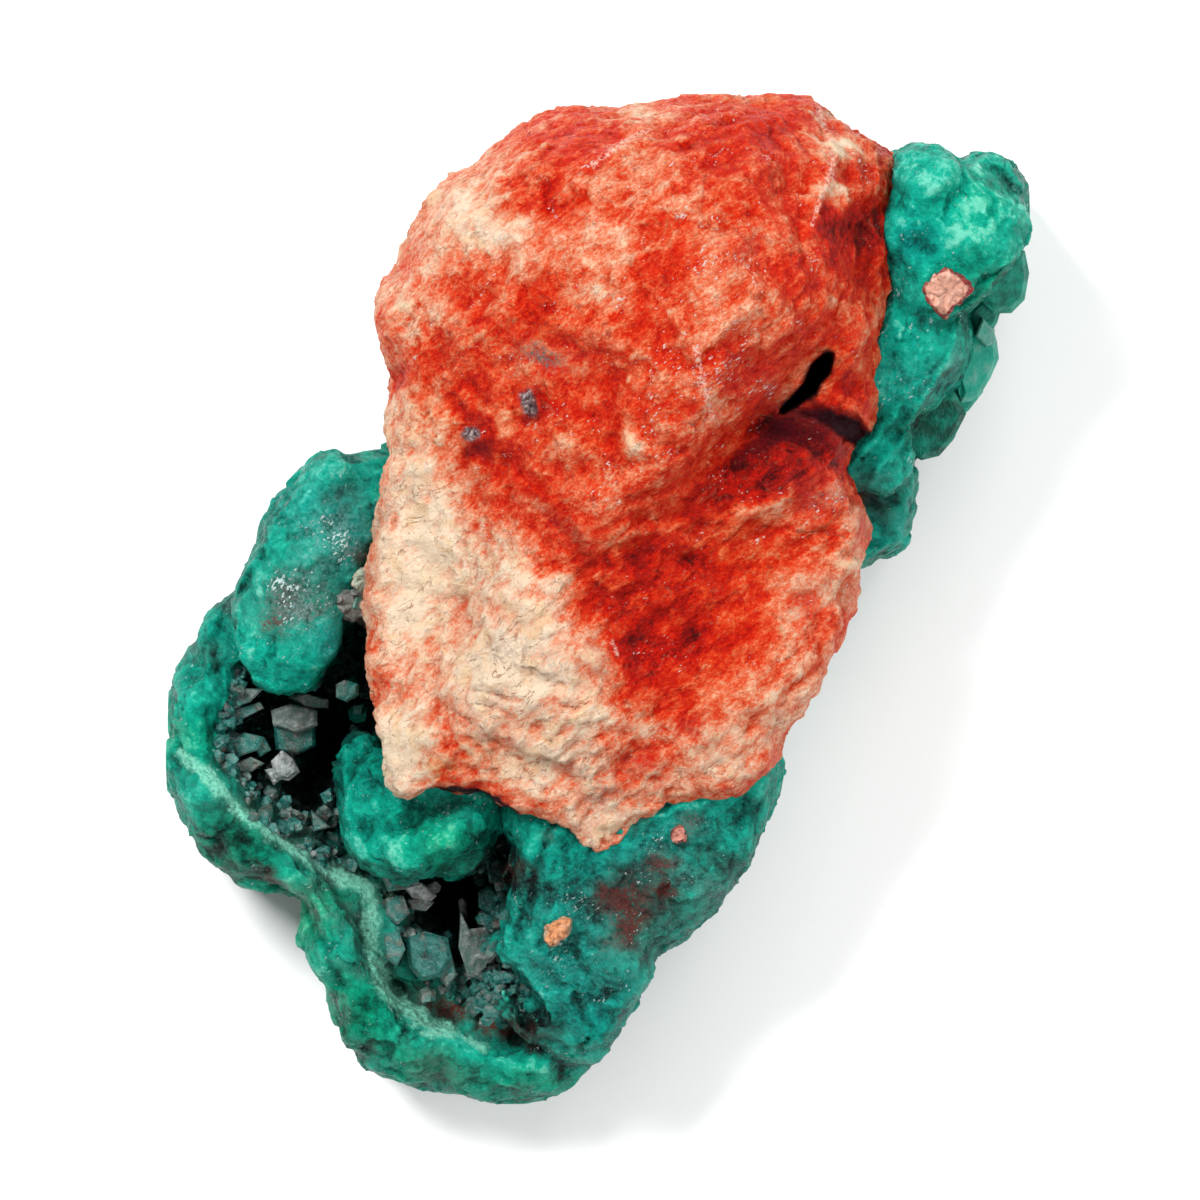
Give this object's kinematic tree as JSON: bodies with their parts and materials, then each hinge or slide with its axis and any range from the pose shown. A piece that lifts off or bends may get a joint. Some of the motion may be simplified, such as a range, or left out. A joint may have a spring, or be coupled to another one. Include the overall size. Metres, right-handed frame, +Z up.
{
  "type": "dioptase on matrix mineral specimen",
  "caption": "Hand-sized mineral specimen: green dioptase walls, lumps and crystals round a block of red and cream carbonate matrix.",
  "frame": {"origin": "on the resting surface, under the middle of the specimen's box", "axes": "+Z up, +Y along the specimen's long side towards the matrix's top end, +X towards the side band of dioptase"},
  "size_m": [0.0391, 0.0457, 0.0232],
  "materials": {
    "matrix": "rough",
    "dioptase": "gloss",
    "hollow_crystals": "gloss"
  },
  "bodies": {
    "root": {"matrix": "matrix", "dioptase_crust": "dioptase", "left_hollow_crystals": "hollow_crystals", "lower_hollow_crystals": "hollow_crystals"}
  },
  "joints": []
}
